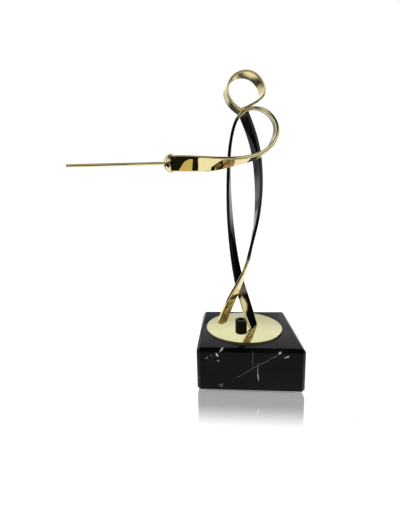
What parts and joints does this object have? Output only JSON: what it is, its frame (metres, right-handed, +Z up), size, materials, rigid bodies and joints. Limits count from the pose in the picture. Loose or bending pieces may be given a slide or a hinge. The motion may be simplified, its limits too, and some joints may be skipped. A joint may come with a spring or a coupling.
{
  "type": "figure trophy",
  "caption": "Award trophy: an abstract fencer bent from gilt and black flat bar, on a brass disc and a chamfered black marble block.",
  "frame": {"origin": "on the floor, at the middle of the felt pad's underside", "axes": "+X right along the front of the block, +Y to the back, +Z up; the sword points along -X"},
  "size_m": [0.1825, 0.08, 0.2391],
  "materials": {
    "base_felt": "black wool felt, matt",
    "black_marble": "black marble with sparse white veins, polished faces",
    "polished_brass": "polished pale brass sheet, lacquered",
    "black_oxide_steel": "black oxide, satin",
    "zinc_steel": "bright zinc plated",
    "gilt_bar": "mirror polished gilt, gloss black lacquer between the knees and the neck",
    "gilt_ring": "mirror polished gilt",
    "polished_gold": "mirror polished gilt",
    "braze_gold": "brazing alloy, gilt over"
  },
  "bodies": {
    "root": {"felt_pad": "base_felt", "marble_base": "black_marble", "top_disc": "polished_brass", "clamp_screw": "black_oxide_steel", "clamp_washer": "zinc_steel", "clamp_nut": "zinc_steel", "body_strip": "gilt_bar", "arm_strip": "gilt_bar", "head_ring": "gilt_ring", "sword_guard": "polished_gold", "sword_blade": "polished_gold", "left_foot_braze": "braze_gold", "right_foot_braze": "braze_gold", "knee_braze": "braze_gold", "neck_braze": "braze_gold"}
  },
  "joints": []
}
